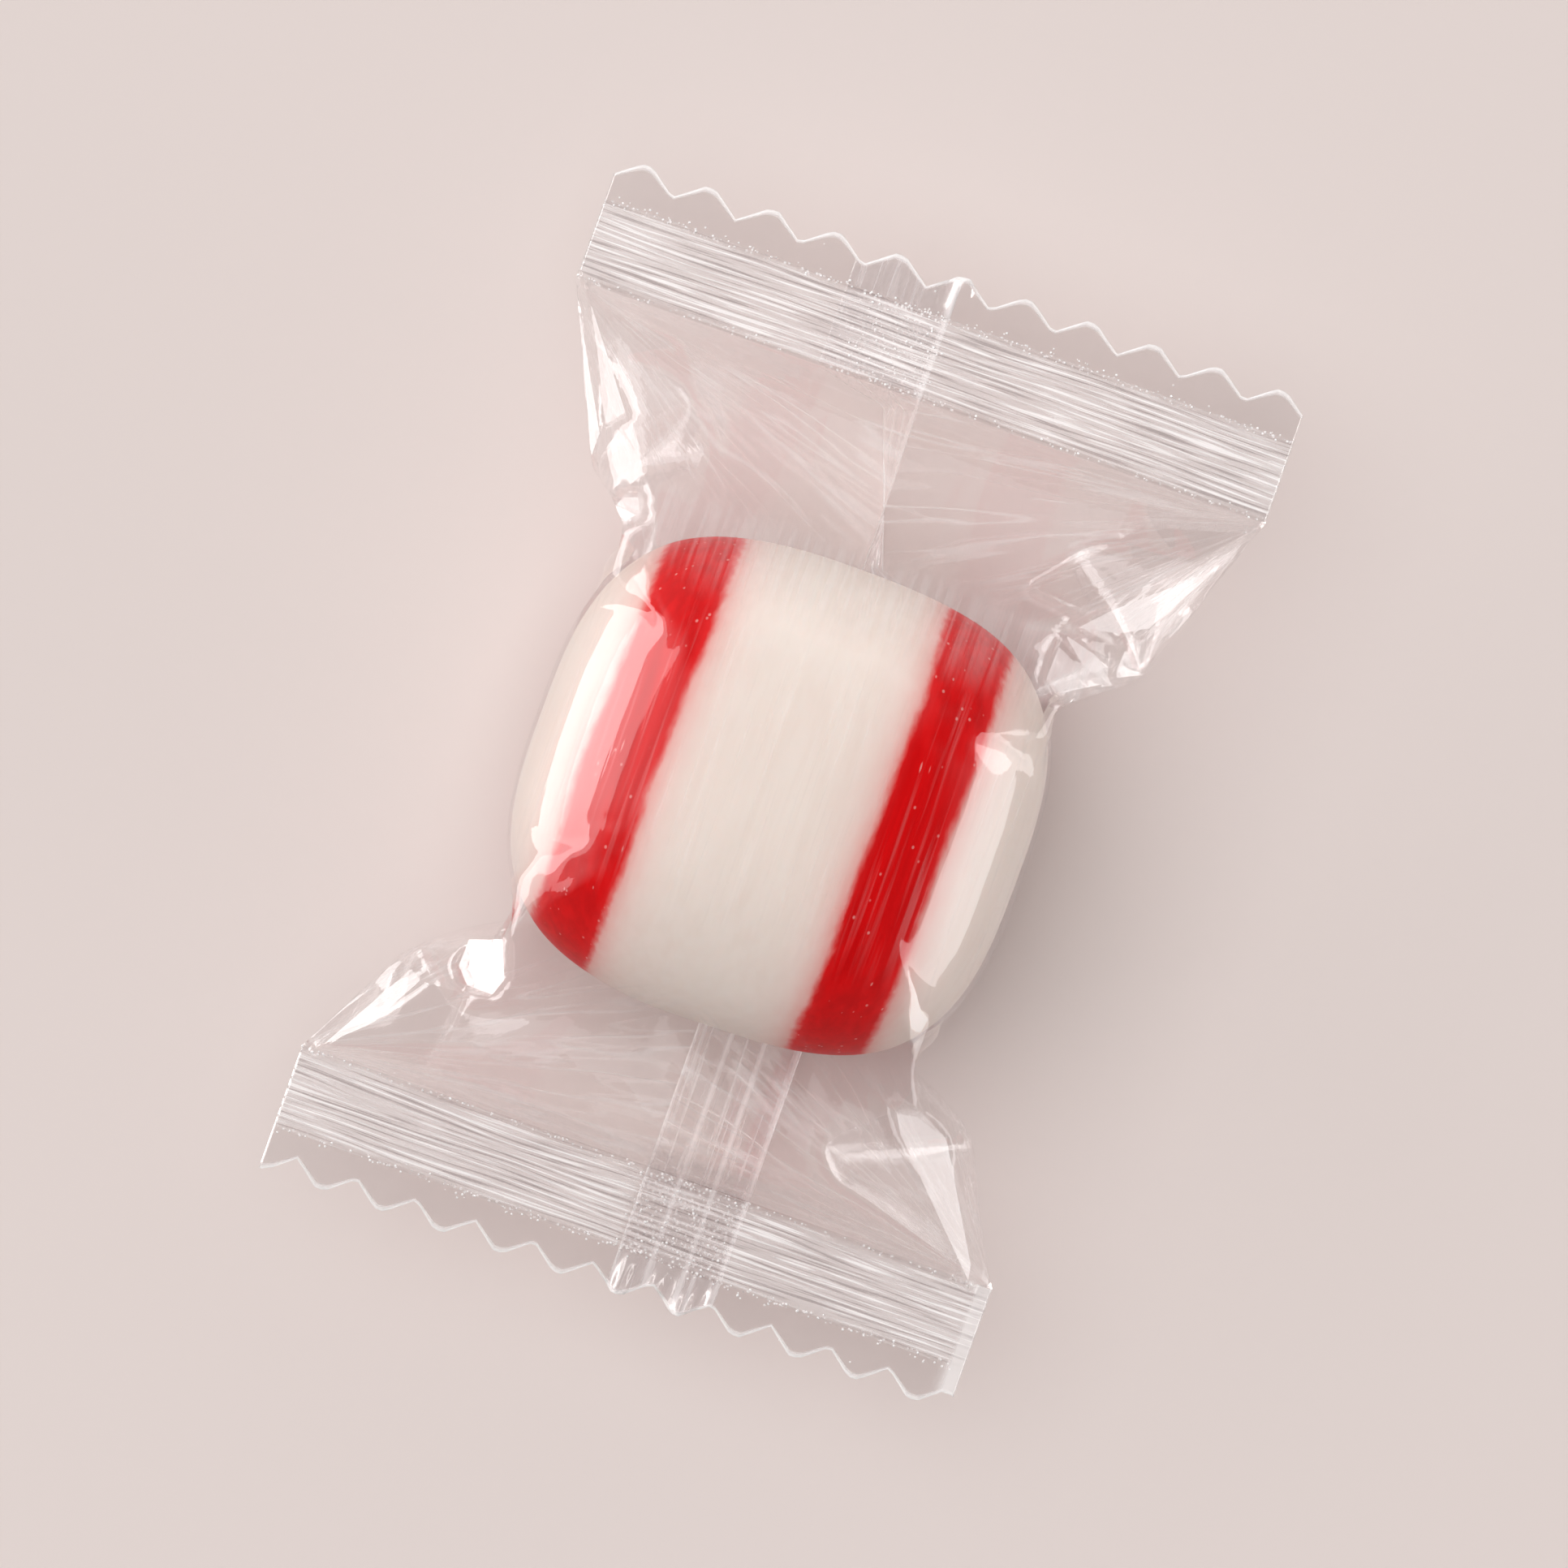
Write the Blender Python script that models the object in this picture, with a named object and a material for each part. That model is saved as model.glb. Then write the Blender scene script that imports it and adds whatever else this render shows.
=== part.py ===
"""A soft peppermint candy sealed in a clear flow wrap, lying on its back.

The model is the outer form of the sealed wrap: a barrel where the film hugs the
candy, a straight-sided panel at each end, and a flat crimped end seal cut in a
zigzag. A fin seal runs along the back. Metres, +Z up, X across, Y along the wrap.
"""
import math

import bmesh
import bpy

MM = 0.001

# The candy under its film: a pillow cut from a striped rope of pulled sugar.
CANDY_WIDTH = 20.3 * MM
CANDY_LENGTH = 19.7 * MM
CANDY_THICKNESS = 15.5 * MM
CANDY_Y = -0.5 * MM
SIDE_POWER = 2.5
SECTION_POWER = 2.2
REST_FLAT_DEPTH = 0.2 * MM

# The flow wrap, measured flat.
WRAP_WIDTH = 29.0 * MM
WRAP_TOP_Y = 21.3 * MM
WRAP_BOTTOM_Y = -21.3 * MM
SEAL_BAND = 3.45 * MM
SEAL_MARGIN = 0.9 * MM
SEAL_THICKNESS = 0.4 * MM
SEAL_HEIGHT = 7.0 * MM

# Where the film leaves the candy's sides, as shares of the candy's length from its
# middle, and how slowly it then fans out to the width of the seal.
SNUG_SHARE = 0.30
PANEL_START_SHARE = 0.33
FAN_POWER = 1.35

# The zigzag cut of the ends and the ridges pressed into the seals.
TEETH = 11
TOOTH_STEPS = 3
TOOTH_DEPTH = 0.85 * MM
CRIMP_RIDGES = 5
CRIMP_DEPTH = 0.07 * MM

# The fin seal folded flat against the back.
FIN_START = 0.0 * MM
FIN_WIDTH = 4.3 * MM
FIN_THICKNESS = 0.3 * MM

# How finely the solid is faceted. The candy's rows stop just short of its ends.
POINTS_ACROSS = TEETH * TOOTH_STEPS + 1
CANDY_ROWS = 21
CANDY_ROWS_SHARE = 0.97
PANEL_ROWS = 5
TANGENT_STEPS = 100

CANDY_MID_Z = CANDY_THICKNESS / 2 - REST_FLAT_DEPTH


def mix(a, b, share):
    """The value share of the way from a to b."""
    return a + (b - a) * share


def squircle(position, half_length, half_height, power):
    """Height of a rounded-square outline at a position along it, or 0 past its end."""
    share = min(1.0, abs(position) / half_length)
    return half_height * (1.0 - share ** power) ** (1.0 / power)


def seal_inner_edge(end):
    """Where the pressed band of an end seal starts; end is +1 for the top, -1 for the bottom."""
    outer = WRAP_TOP_Y if end > 0 else WRAP_BOTTOM_Y
    return outer - end * (TOOTH_DEPTH + SEAL_MARGIN + SEAL_BAND)


def film_height(y):
    """Half height of the film along the middle of the wrap.

    The film follows the candy up to the point where a straight line to the end
    seal leaves it, and then follows that line.
    """
    end = 1 if y > CANDY_Y else -1
    along = abs(y - CANDY_Y)
    reach = abs(seal_inner_edge(end) - CANDY_Y)
    half_length = CANDY_LENGTH / 2
    half_height = CANDY_THICKNESS / 2
    steepest, leaves_at = 0.0, half_length
    for step in range(TANGENT_STEPS):
        touch = half_length * step / TANGENT_STEPS
        rise = squircle(touch, half_length, half_height, SIDE_POWER) - SEAL_THICKNESS / 2
        if rise / (reach - touch) > steepest:
            steepest, leaves_at = rise / (reach - touch), touch
    if along < leaves_at:
        return squircle(along, half_length, half_height, SIDE_POWER)
    return SEAL_THICKNESS / 2 + steepest * (reach - along)


def share_of_panel(y, start):
    """0 up to start from the candy's middle, rising evenly to 1 at the end seal."""
    end = 1 if y > CANDY_Y else -1
    reach = abs(seal_inner_edge(end) - CANDY_Y)
    return min(1.0, max(0.0, (abs(y - CANDY_Y) - start) / (reach - start)))


def half_width(y):
    """Half the width of the wrap: snug over the candy, then fanning out to the seal."""
    share = share_of_panel(y, SNUG_SHARE * CANDY_LENGTH)
    return mix(CANDY_WIDTH / 2, WRAP_WIDTH / 2, share ** FAN_POWER)


def on_fin(across):
    """True where a point of the flattened back, across from -1 to 1, lies on the fin seal."""
    place = across * WRAP_WIDTH / 2
    return FIN_START <= place <= FIN_START + FIN_WIDTH


def section(y):
    """One closed ring of points round the wrap at y: the front left to right, then the back."""
    share = share_of_panel(y, PANEL_START_SHARE * CANDY_LENGTH)
    middle = mix(CANDY_MID_Z, SEAL_HEIGHT, share)
    width = half_width(y)
    edge = SEAL_THICKNESS / 2 * share
    swell = film_height(y) - edge
    ring = []
    for side in (1, -1):
        points = range(POINTS_ACROSS) if side > 0 else reversed(range(POINTS_ACROSS))
        for i in points:
            angle = math.pi * (i + 0.5) / POINTS_ACROSS
            turn = math.cos(angle)
            round_x = -math.copysign(abs(turn) ** (2 / SECTION_POWER), turn)
            round_z = math.sin(angle) ** (2 / SECTION_POWER)
            across = 2 * i / (POINTS_ACROSS - 1) - 1
            z = middle + side * (edge + swell * round_z)
            if side < 0 and on_fin(across):
                z -= FIN_THICKNESS * share
            ring.append((width * mix(round_x, across, share), y, max(0.0, z)))
    return ring


def tooth(i):
    """How far the zigzag stands out at point i, from 0 in a valley to 1 on a flat tip."""
    return 0.0 if i % TOOTH_STEPS == 0 else 1.0


def seal_rings(end):
    """The rings of an end seal from its inner edge out: ridges, clear margin, zigzag edge."""
    rows = []
    for ridge in range(CRIMP_RIDGES):
        for place, height in ((0.1, 0.0), (0.4, CRIMP_DEPTH), (0.6, CRIMP_DEPTH), (0.9, 0.0)):
            rows.append((SEAL_BAND * (ridge + place) / CRIMP_RIDGES, height, 0.0))
    rows.append((SEAL_BAND + SEAL_MARGIN, 0.0, TOOTH_DEPTH))
    rings = []
    for out, height, depth in rows:
        ring = []
        for n, (x, y, z) in enumerate(section(seal_inner_edge(end))):
            front = n < POINTS_ACROSS
            i = n if front else 2 * POINTS_ACROSS - 1 - n
            ring.append((x, y + end * (out + depth * tooth(i)), z + (height if front else -height)))
        rings.append(ring)
    return rings


def middle_rings():
    """The rings from the bottom seal's inner edge, over the candy, to the top seal's."""
    low, high = seal_inner_edge(-1), seal_inner_edge(1)
    body = CANDY_LENGTH / 2 * CANDY_ROWS_SHARE
    places = [mix(low, CANDY_Y - body, i / PANEL_ROWS) for i in range(1, PANEL_ROWS)]
    for i in range(CANDY_ROWS):
        places.append(CANDY_Y - body * math.cos(math.pi * i / (CANDY_ROWS - 1)))
    places += [mix(CANDY_Y + body, high, i / PANEL_ROWS) for i in range(1, PANEL_ROWS)]
    return [section(y) for y in places]


def loft(rings):
    """One closed mesh through all the rings, with a strip of faces across each end."""
    mesh = bmesh.new()
    verts = [[mesh.verts.new(point) for point in ring] for ring in rings]
    count = len(rings[0])
    for a, b in zip(verts, verts[1:]):
        for n in range(count):
            following = (n + 1) % count
            mesh.faces.new((a[n], a[following], b[following], b[n]))
    for ring in (verts[0], verts[-1]):
        for n in range(count // 2 - 1):
            mesh.faces.new((ring[n], ring[n + 1], ring[count - 2 - n], ring[count - 1 - n]))
    bmesh.ops.recalc_face_normals(mesh, faces=mesh.faces)
    bmesh.ops.triangulate(mesh, faces=mesh.faces)
    data = bpy.data.meshes.new("wrapped_candy")
    mesh.to_mesh(data)
    mesh.free()
    return data


def wrap_material():
    """Clear film over pale candy, seen as one pale glossy solid."""
    material = bpy.data.materials.new("clear film over candy")
    material.use_nodes = True
    shader = material.node_tree.nodes["Principled BSDF"]
    shader.inputs["Base Color"].default_value = (0.82, 0.78, 0.74, 1.0)
    shader.inputs["Roughness"].default_value = 0.12
    shader.inputs["Metallic"].default_value = 0.0
    return material


for old in list(bpy.data.objects):
    bpy.data.objects.remove(old, do_unlink=True)

collection = bpy.data.collections.new("soft_peppermint_candy")
bpy.context.scene.collection.children.link(collection)
wrap_mesh = loft(list(reversed(seal_rings(-1))) + middle_rings() + seal_rings(1))
wrap_mesh.shade_smooth()
wrap_mesh.set_sharp_from_angle(angle=math.radians(35))
wrap_mesh.materials.append(wrap_material())
collection.objects.link(bpy.data.objects.new("wrapped_candy", wrap_mesh))
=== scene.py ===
import math

import bmesh
import bpy
import numpy as np
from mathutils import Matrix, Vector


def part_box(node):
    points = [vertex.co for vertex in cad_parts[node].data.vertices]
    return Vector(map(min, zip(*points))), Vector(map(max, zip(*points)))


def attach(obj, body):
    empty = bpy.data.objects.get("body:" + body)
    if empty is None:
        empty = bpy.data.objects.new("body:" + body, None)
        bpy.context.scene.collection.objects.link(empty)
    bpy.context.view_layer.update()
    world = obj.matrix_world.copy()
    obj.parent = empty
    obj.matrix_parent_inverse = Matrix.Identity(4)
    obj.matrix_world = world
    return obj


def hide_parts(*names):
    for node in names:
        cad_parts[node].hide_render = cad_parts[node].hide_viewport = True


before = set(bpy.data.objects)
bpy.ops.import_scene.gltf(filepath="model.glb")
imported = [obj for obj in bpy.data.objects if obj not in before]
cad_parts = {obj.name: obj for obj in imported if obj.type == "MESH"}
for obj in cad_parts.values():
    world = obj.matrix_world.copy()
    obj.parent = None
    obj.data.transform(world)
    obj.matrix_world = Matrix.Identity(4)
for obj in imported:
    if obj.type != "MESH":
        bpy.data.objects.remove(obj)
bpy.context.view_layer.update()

MM = 0.001

candy_half = np.array([10.1, 9.7, 7.55]) * MM
candy_middle = np.array([0.0, -0.5, 7.68]) * MM
# How square its plan and its section are: 2 is an ellipse, and more is squarer.
plan_power = 2.95
section_power = 2.3
candy_cuts = 72
dent_depth = 0.16 * MM
cut_groove_depth = 0.30 * MM
cut_groove_half_width = 0.9 * MM
candy_sizes = {"Half width": candy_half[0], "Half length": candy_half[1],
               "Half thickness": candy_half[2], "Plan power": plan_power,
               "Section power": section_power, "Dent depth": dent_depth,
               "Groove depth": cut_groove_depth, "Groove half width": cut_groove_half_width}
# Each stripe's middle across, how much it leans per length, and half its width, in millimetres.
stripes = ((-6.18, 0.012, 1.40), (5.30, 0.012, 1.43))
stripe_waver = 0.8 * MM
stripe_fray = 0.30 * MM
bleed_reach = 0.55 * MM


def linear(colour):
    """A linear RGBA colour from an sRGB hex string."""
    parts = [int(colour[i:i + 2], 16) / 255 for i in (1, 3, 5)]
    return [c / 12.92 if c <= 0.04045 else ((c + 0.055) / 1.055) ** 2.4 for c in parts] + [1.0]


def node(tree, kind, *values, output=None, **settings):
    """Adds a node and gives one of its outputs: the first in use, or the one that is named.

    kind is the node's type, with what it works out after a dot. The values are for its inputs in
    order, and settings for its properties and its other inputs. A socket is linked, and a hex
    string is a colour.
    """
    kind, _, way = kind.partition(".")
    made = tree.nodes.new(kind if "Node" in kind else "ShaderNode" + kind)
    if way:
        choices = ("operation", "interpolation_type", "data_type")
        setattr(made, next(name for name in choices if hasattr(made, name)), way)
    links = list(zip([socket for socket in made.inputs if socket.enabled], values))
    for name, value in settings.items():
        if hasattr(made, name):
            setattr(made, name, value)
        else:
            links.append((made.inputs[name.replace("_", " ")], value))
    for socket, value in links:
        if isinstance(value, bpy.types.NodeSocket):
            tree.links.new(value, socket)
        elif isinstance(value, str) and value.startswith("#"):
            socket.default_value = linear(value)
        else:
            socket.default_value = value
    if output:
        return made.outputs[output]
    return next((socket for socket in made.outputs if socket.enabled), None)


def stretched(tree, place, sizes_mm):
    """A place measured in these sizes in millimetres along X, Y and Z."""
    return node(tree, "VectorMath.MULTIPLY", place, [1 / (size * MM) for size in sizes_mm])


def stretched_noise(tree, place, sizes_mm, detail=3.0, roughness=0.5):
    """Noise whose grains have these sizes in millimetres along X, Y and Z."""
    return node(tree, "TexNoise", stretched(tree, place, sizes_mm), Scale=1.0, Detail=detail,
                Roughness=roughness)


def stretched_cells(tree, place, sizes_mm, radius, kept):
    """Spots, one to a cell of these sizes. radius is a share of a cell, and kept the share shown."""
    away = node(tree, "TexVoronoi", stretched(tree, place, sizes_mm), Scale=1.0, Randomness=1.0)
    chance = node(tree, "SeparateXYZ", away.node.outputs["Color"])
    spot = node(tree, "MapRange.SMOOTHSTEP", away, radius, 0.4 * radius)
    return node(tree, "Math.MULTIPLY", spot, node(tree, "Math.LESS_THAN", chance, kept))


def new_material(name):
    """An empty material, its tree and the socket that its finished surface goes to."""
    material = bpy.data.materials.new(name)
    material.use_nodes = True
    material.node_tree.nodes.clear()
    out = material.node_tree.nodes.new("ShaderNodeOutputMaterial")
    return material, material.node_tree, out.inputs["Surface"]


def new_shape_tree(name, *sizes):
    """An empty Geometry Nodes tree and its inputs: the geometry it starts from, and these sizes."""
    tree = bpy.data.node_groups.new(name, "GeometryNodeTree")
    tree.interface.new_socket("Geometry", in_out="OUTPUT", socket_type="NodeSocketGeometry")
    tree.interface.new_socket("Geometry", in_out="INPUT", socket_type="NodeSocketGeometry")
    for size in sizes:
        tree.interface.new_socket(size, in_out="INPUT", socket_type="NodeSocketFloat")
    return tree, tree.nodes.new("NodeGroupInput").outputs


def end_shape_tree(tree, geometry, material):
    """Ends a Geometry Nodes tree with real, smooth faces of one material."""
    real = node(tree, "GeometryNodeRealizeInstances", geometry)
    smooth = node(tree, "GeometryNodeSetShadeSmooth", Geometry=real)
    painted = node(tree, "GeometryNodeSetMaterial", Geometry=smooth, Material=material)
    node(tree, "NodeGroupOutput", painted)


def put_in_scene(name, data):
    """A new object in the scene, at the origin."""
    made = bpy.data.objects.new(name, data)
    bpy.context.scene.collection.objects.link(made)
    return made


def shaped(tree, start, sizes):
    """The plain mesh that a Geometry Nodes tree makes from a starting mesh with these named sizes."""
    holder = put_in_scene(tree.name, start)
    modifier = holder.modifiers.new(tree.name, "NODES")
    modifier.node_group = tree
    for socket in tree.interface.items_tree:
        if socket.name in sizes:
            modifier[socket.identifier] = sizes[socket.name]
    seen = holder.evaluated_get(bpy.context.evaluated_depsgraph_get())
    mesh = bpy.data.meshes.new_from_object(seen)
    holder.modifiers.remove(modifier)
    bpy.data.objects.remove(holder)
    return mesh


def add_piece(name, mesh):
    """A piece that rides on the one body and stands for the wrapped candy's solid."""
    mesh.name = name
    piece = put_in_scene(name, mesh)
    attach(piece, "root")
    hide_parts("wrapped_candy")


def pulled_sugar():
    """Pulled sugar, white with red stripes: opaque and satiny, and nearly even in tone.

    The stripes' edges waver and fray, and their colour bleeds a little into the white. The red
    shows tiny pale pits and scratches.
    """
    material, tree, out = new_material("pulled sugar, striped")
    place = node(tree, "TexCoord", output="Object")
    x, y, _ = node(tree, "SeparateXYZ", place).node.outputs
    wave = stretched_noise(tree, place, (9.0, 7.0, 9.0), detail=1.0)
    wave = node(tree, "Math.MULTIPLY", node(tree, "Math.SUBTRACT", wave, 0.5), stripe_waver)
    fray = stretched_noise(tree, place, (0.35, 0.9, 0.35))
    fray = node(tree, "Math.MULTIPLY", node(tree, "Math.SUBTRACT", fray, 0.5), stripe_fray)
    across = node(tree, "Math.ADD", x, node(tree, "Math.ADD", wave, fray))
    edges = []
    for middle, lean, half_width in stripes:
        line = node(tree, "Math.MULTIPLY_ADD", y, lean, middle * MM)
        off = node(tree, "Math.ABSOLUTE", node(tree, "Math.SUBTRACT", across, line))
        edges.append(node(tree, "Math.SUBTRACT", off, half_width * MM))
    outside = node(tree, "Math.MINIMUM", *edges)
    red_share = node(tree, "MapRange.SMOOTHSTEP", outside, 0.18 * MM, -0.20 * MM)
    bleed = node(tree, "Math.DIVIDE", node(tree, "Math.MAXIMUM", outside, 0.0), -bleed_reach)
    bleed = node(tree, "Math.MULTIPLY", node(tree, "Math.EXPONENT", bleed), 0.9)
    streak = stretched_noise(tree, place, (0.5, 9.0, 0.5), detail=4.0, roughness=0.6)
    cloud = stretched_noise(tree, place, (3.5, 6.0, 3.5), detail=2.0)
    cloud = node(tree, "MapRange.SMOOTHSTEP", cloud, 0.35, 0.75, 0.0, 0.6)
    cream = node(tree, "MapRange.SMOOTHSTEP", streak, 0.3, 0.75)
    cream = node(tree, "Mix.RGBA", cream, "#efe3da", "#ebddd3")
    cream = node(tree, "Mix.RGBA", cloud, cream, "#f1e7de")
    cream = node(tree, "Mix.RGBA", bleed, cream, "#e68f89")
    red = node(tree, "MapRange.SMOOTHSTEP", streak, 0.3, 0.7)
    red = node(tree, "Mix.RGBA", red, "#ca0105", "#dd050a")
    edge = node(tree, "MapRange.SMOOTHSTEP", outside, -bleed_reach, 0.0, 0.0, 0.45)
    red = node(tree, "Mix.RGBA", edge, red, "#e3292a")
    pits = stretched_cells(tree, place, (0.42, 0.52, 0.42), 0.19, 0.36)
    scratches = stretched_cells(tree, place, (0.34, 2.4, 0.34), 0.15, 0.38)
    pale = node(tree, "Math.MAXIMUM", node(tree, "Math.MULTIPLY", pits, 0.42),
                node(tree, "Math.MULTIPLY", scratches, 0.45))
    red = node(tree, "Mix.RGBA", pale, red, "#f6c4bd")
    colour = node(tree, "Mix.RGBA", red_share, cream, red)
    height = node(tree, "Math.MULTIPLY_ADD", pale, -0.35, node(tree, "Math.MULTIPLY", streak, 0.5))
    bump = node(tree, "Bump", Strength=0.25, Distance=0.04 * MM, Height=height)
    sugar = node(tree, "BsdfPrincipled", colour, Roughness=0.40, IOR=1.45, Specular_IOR_Level=0.12,
                 Subsurface_Weight=0.15, Subsurface_Scale=0.4 * MM, Subsurface_Radius=(1.0, 0.5, 0.4),
                 Normal=bump)
    tree.links.new(sugar, out)
    return material


def pillow_tree(material):
    """Geometry Nodes that blow a finely cut cube up to the candy's form.

    Its plan and its section are both rounded squares. It has shallow dents all over, and a groove
    across each end where the jaws cut it off.
    """
    tree, size = new_shape_tree("pillow of pulled sugar", *candy_sizes)
    cuts = {f"Vertices_{axis}": candy_cuts + 2 for axis in "XYZ"}
    cube = node(tree, "GeometryNodeMeshCube", Size=(2, 2, 2), **cuts)
    start = node(tree, "SeparateXYZ", node(tree, "GeometryNodeInputPosition")).node.outputs
    # The tangent moves the cube's cuts apart towards its edges, which evens them out on the pillow.
    even = math.pi / 4 * 0.98
    spread = []
    for axis in range(3):
        tangent = node(tree, "Math.TANGENT", node(tree, "Math.MULTIPLY", start[axis], even))
        spread.append(node(tree, "Math.DIVIDE", tangent, math.tan(even)))
    plan_way, section_way = size["Plan power"], size["Section power"]
    x, y, z = (node(tree, "Math.POWER", node(tree, "Math.ABSOLUTE", spread[axis]), power)
               for axis, power in enumerate((plan_way, plan_way, section_way)))
    plan = node(tree, "Math.POWER", node(tree, "Math.ADD", x, y),
                node(tree, "Math.DIVIDE", section_way, plan_way))
    grow = node(tree, "Math.POWER", node(tree, "Math.ADD", plan, z),
                node(tree, "Math.DIVIDE", 1.0, section_way))
    on_pillow = [node(tree, "Math.MULTIPLY", node(tree, "Math.DIVIDE", spread[axis], grow), size[half])
                 for axis, half in enumerate(("Half width", "Half length", "Half thickness"))]
    place = node(tree, "CombineXYZ", *on_pillow)
    dents = stretched_noise(tree, place, (7.0, 9.0, 7.0), detail=1.0)
    dents = node(tree, "Math.MULTIPLY", dents,
                 node(tree, "Math.DIVIDE", size["Dent depth"], size["Half thickness"]))
    dented = node(tree, "VectorMath.SCALE", place, node(tree, "Math.SUBTRACT", 1.0, dents))
    to_end = node(tree, "Math.DIVIDE", on_pillow[1], size["Half length"])
    at_end = node(tree, "MapRange.SMOOTHSTEP", node(tree, "Math.ABSOLUTE", to_end), 0.78, 1.0)
    at_end = node(tree, "Math.POWER", at_end, 2.0)
    off = node(tree, "Math.DIVIDE", on_pillow[2], size["Groove half width"])
    groove = node(tree, "Math.MULTIPLY", node(tree, "Math.MULTIPLY", off, off), -1.0)
    groove = node(tree, "Math.MULTIPLY", node(tree, "Math.EXPONENT", groove), at_end)
    groove = node(tree, "Math.MULTIPLY", groove, size["Groove depth"])
    groove = node(tree, "Math.MULTIPLY", groove, node(tree, "Math.SIGN", to_end))
    inward = node(tree, "CombineXYZ", Y=node(tree, "Math.MULTIPLY", groove, -1.0))
    grooved = node(tree, "VectorMath.ADD", dented, inward)
    lifted = node(tree, "VectorMath.ADD", grooved, tuple(candy_middle))
    placed = node(tree, "GeometryNodeSetPosition", Geometry=cube, Position=lifted)
    end_shape_tree(tree, placed, material)
    return tree


candy_mesh = shaped(pillow_tree(pulled_sugar()), bpy.data.meshes.new("nothing"), candy_sizes)
add_piece("candy", candy_mesh)

# --------------------------------------------------------------------------------------
# Film. Clear polypropylene about 30 micrometres thick, formed into a tube round the
# candy. The tube is longer at its sides than the way it has to go there, so it buckles
# beside the candy's shoulders and creases from there to the corners of the end seals.
# --------------------------------------------------------------------------------------
low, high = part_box("wrapped_candy")
flat_width = high[0] - low[0]
girth = 2 * flat_width
film_gap = 0.06 * MM
film_length = 37.6 * MM
film_floor = 0.10 * MM
layer_gap = 0.05 * MM
tooth_depth = 0.85 * MM
seal_margin = 0.9 * MM
seal_band = 3.45 * MM
seal_height = 7.0 * MM
# The seals aren't quite flat: bowed, tilted, drooping outwards, and wavy at the cut.
seal_bow = 0.30 * MM
seal_tilt = 0.35 * MM
seal_droop = 0.04
seal_wave = 0.10 * MM
seal_inner = {end: (high[1] if end > 0 else low[1]) - end * (tooth_depth + seal_margin + seal_band)
              for end in (1, -1)}
# Where the straight folds from the seals' four corners end, in millimetres, by side and end.
fold_ends = {(1, 1): (11.9, 8.6), (-1, 1): (-11.3, 9.2),
             (1, -1): (12.1, -12.2), (-1, -1): (-12.2, -11.8)}
fold_z = 7.5 * MM
snug_length = 6.5 * MM
first_unevenness = 0.05 * MM
# The film clings to the candy wholly where it is nearer than cling_near and not past cling_far,
# and over the candy's sides: inside its rim, and away from its middle line.
cling_near = 0.25 * MM
cling_far = 1.2 * MM
cling_rim = 0.97
cling_fade = 0.32
cling_from_middle = 1.0 * MM
cling_ramp = 6 * MM
# How the film moves as it settles: the share of its speed that it keeps, how much its squares
# resist being skewed, and how well it grips the candy.
kept_speed = 0.9
skew_strength = 0.6
grip = 0.9
coarse_columns, coarse_rows = 56, 37
# For each stage of settling: its steps, how stiff the film is to bend, and how it is blown up.
relax_plan = ((400, 0.30, 1.2e-4), (600, 0.20, 1.2e-4), (900, 0.05, 0.0))
# The share that it mirrors: seen straight on, what a shiny facet adds, and at a slant.
mirror_least = 0.072
mirror_shiny = 0.06
mirror_slant = 0.90
mirror_power = 4.5


def candy_size_at(points):
    """How many times the candy must grow about its middle to reach each point, and the slope of that."""
    away = (points - candy_middle) / candy_half
    size = np.abs(away) + 1e-9
    plan = size[..., 0] ** plan_power + size[..., 1] ** plan_power
    total = plan ** (section_power / plan_power) + size[..., 2] ** section_power
    grow = total ** (1 / section_power)
    slope = np.empty_like(points)
    per_plan = grow / total * plan ** (section_power / plan_power - 1)
    slope[..., 0] = per_plan * size[..., 0] ** (plan_power - 1)
    slope[..., 1] = per_plan * size[..., 1] ** (plan_power - 1)
    slope[..., 2] = grow / total * size[..., 2] ** (section_power - 1)
    return grow, slope * np.sign(away) / candy_half


def seal_point(x, out, end):
    """The middle of an end seal, x across and out from its inner edge."""
    across = x / (flat_width / 2)
    z = seal_height + end * seal_bow * (1 - across ** 2) + end * seal_tilt * across
    z = z - seal_droop * out + seal_wave * np.sin(2.6 * across + end) * out / seal_band
    return np.stack([x, seal_inner[end] + end * out + 0 * x, z], -1)


def round_the_tube(count):
    """Where each of count points round the flattened tube lies: x, and its side, 1 front and -1 back."""
    s = np.arange(count) / count * girth
    x = np.where(s <= girth / 4, s, np.where(s <= girth * 3 / 4, girth / 2 - s, s - girth))
    front = (s < girth / 4 - 1e-9) | (s > girth * 3 / 4 + 1e-9)
    edge = np.isclose(s, girth / 4) | np.isclose(s, girth * 3 / 4)
    return x, np.where(edge, 0.0, np.where(front, 1.0, -1.0))


def sealed_rows(count):
    """The film's first and last rows, held in the end seals."""
    x, side = round_the_tube(count)
    lift = np.array([0, 0, 1.0]) * (side * layer_gap / 2)[:, None]
    return seal_point(x, 0.0, -1) + lift, seal_point(x, 0.0, 1) + lift


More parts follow.
